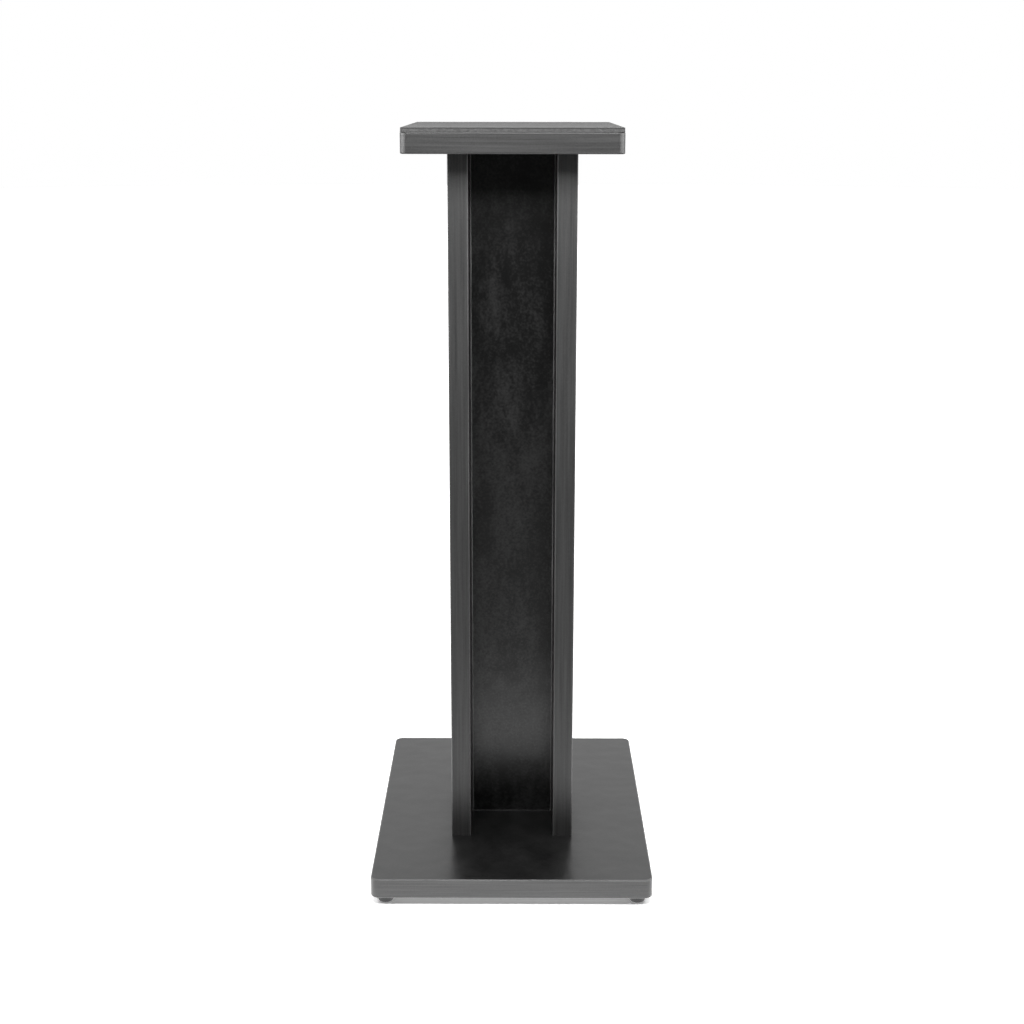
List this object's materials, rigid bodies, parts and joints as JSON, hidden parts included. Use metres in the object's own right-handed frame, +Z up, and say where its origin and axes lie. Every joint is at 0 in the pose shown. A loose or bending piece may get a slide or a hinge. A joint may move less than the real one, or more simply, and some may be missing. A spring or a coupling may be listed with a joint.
{
  "type": "speaker stand",
  "caption": "Free-standing pedestal for a bookshelf speaker: an H-section column of black boards between a base plate and a padded top plate, on rubber feet.",
  "frame": {"origin": "on the floor under the middle of the stand", "axes": "+Z up, the open channel in front faces -Y, +X to the right as seen from the front"},
  "size_m": [0.273, 0.352, 0.737],
  "materials": {
    "black_lacquered_board": "MDF, sprayed satin black lacquer",
    "isolation_foam": "closed-cell rubber foam sheet, matt, knife-cut edge",
    "foot_rubber": "moulded black rubber, matt",
    "zinc_plated_steel": "bright zinc plate",
    "beech": "plain beech dowel rod, fluted"
  },
  "bodies": {
    "root": {"base_plate": "black_lacquered_board", "left_side_board": "black_lacquered_board", "right_side_board": "black_lacquered_board", "web_panel": "black_lacquered_board", "top_plate": "black_lacquered_board", "isolation_pad": "isolation_foam", "foot_front_left": "foot_rubber", "foot_washer_front_left": "zinc_plated_steel", "foot_screw_front_left": "zinc_plated_steel", "foot_rear_left": "foot_rubber", "foot_washer_rear_left": "zinc_plated_steel", "foot_screw_rear_left": "zinc_plated_steel", "foot_front_right": "foot_rubber", "foot_washer_front_right": "zinc_plated_steel", "foot_screw_front_right": "zinc_plated_steel", "foot_rear_right": "foot_rubber", "foot_washer_rear_right": "zinc_plated_steel", "foot_screw_rear_right": "zinc_plated_steel", "base_screw_left_front": "zinc_plated_steel", "base_screw_left_rear": "zinc_plated_steel", "base_screw_web_left": "zinc_plated_steel", "base_screw_right_front": "zinc_plated_steel", "base_screw_right_rear": "zinc_plated_steel", "base_screw_web_right": "zinc_plated_steel", "top_screw_left_front": "zinc_plated_steel", "top_screw_left_rear": "zinc_plated_steel", "top_screw_web_left": "zinc_plated_steel", "top_screw_right_front": "zinc_plated_steel", "top_screw_right_rear": "zinc_plated_steel", "top_screw_web_right": "zinc_plated_steel", "dowel_left_1": "beech", "dowel_left_2": "beech", "dowel_left_3": "beech", "dowel_left_4": "beech", "dowel_right_1": "beech", "dowel_right_2": "beech", "dowel_right_3": "beech", "dowel_right_4": "beech"}
  },
  "joints": []
}
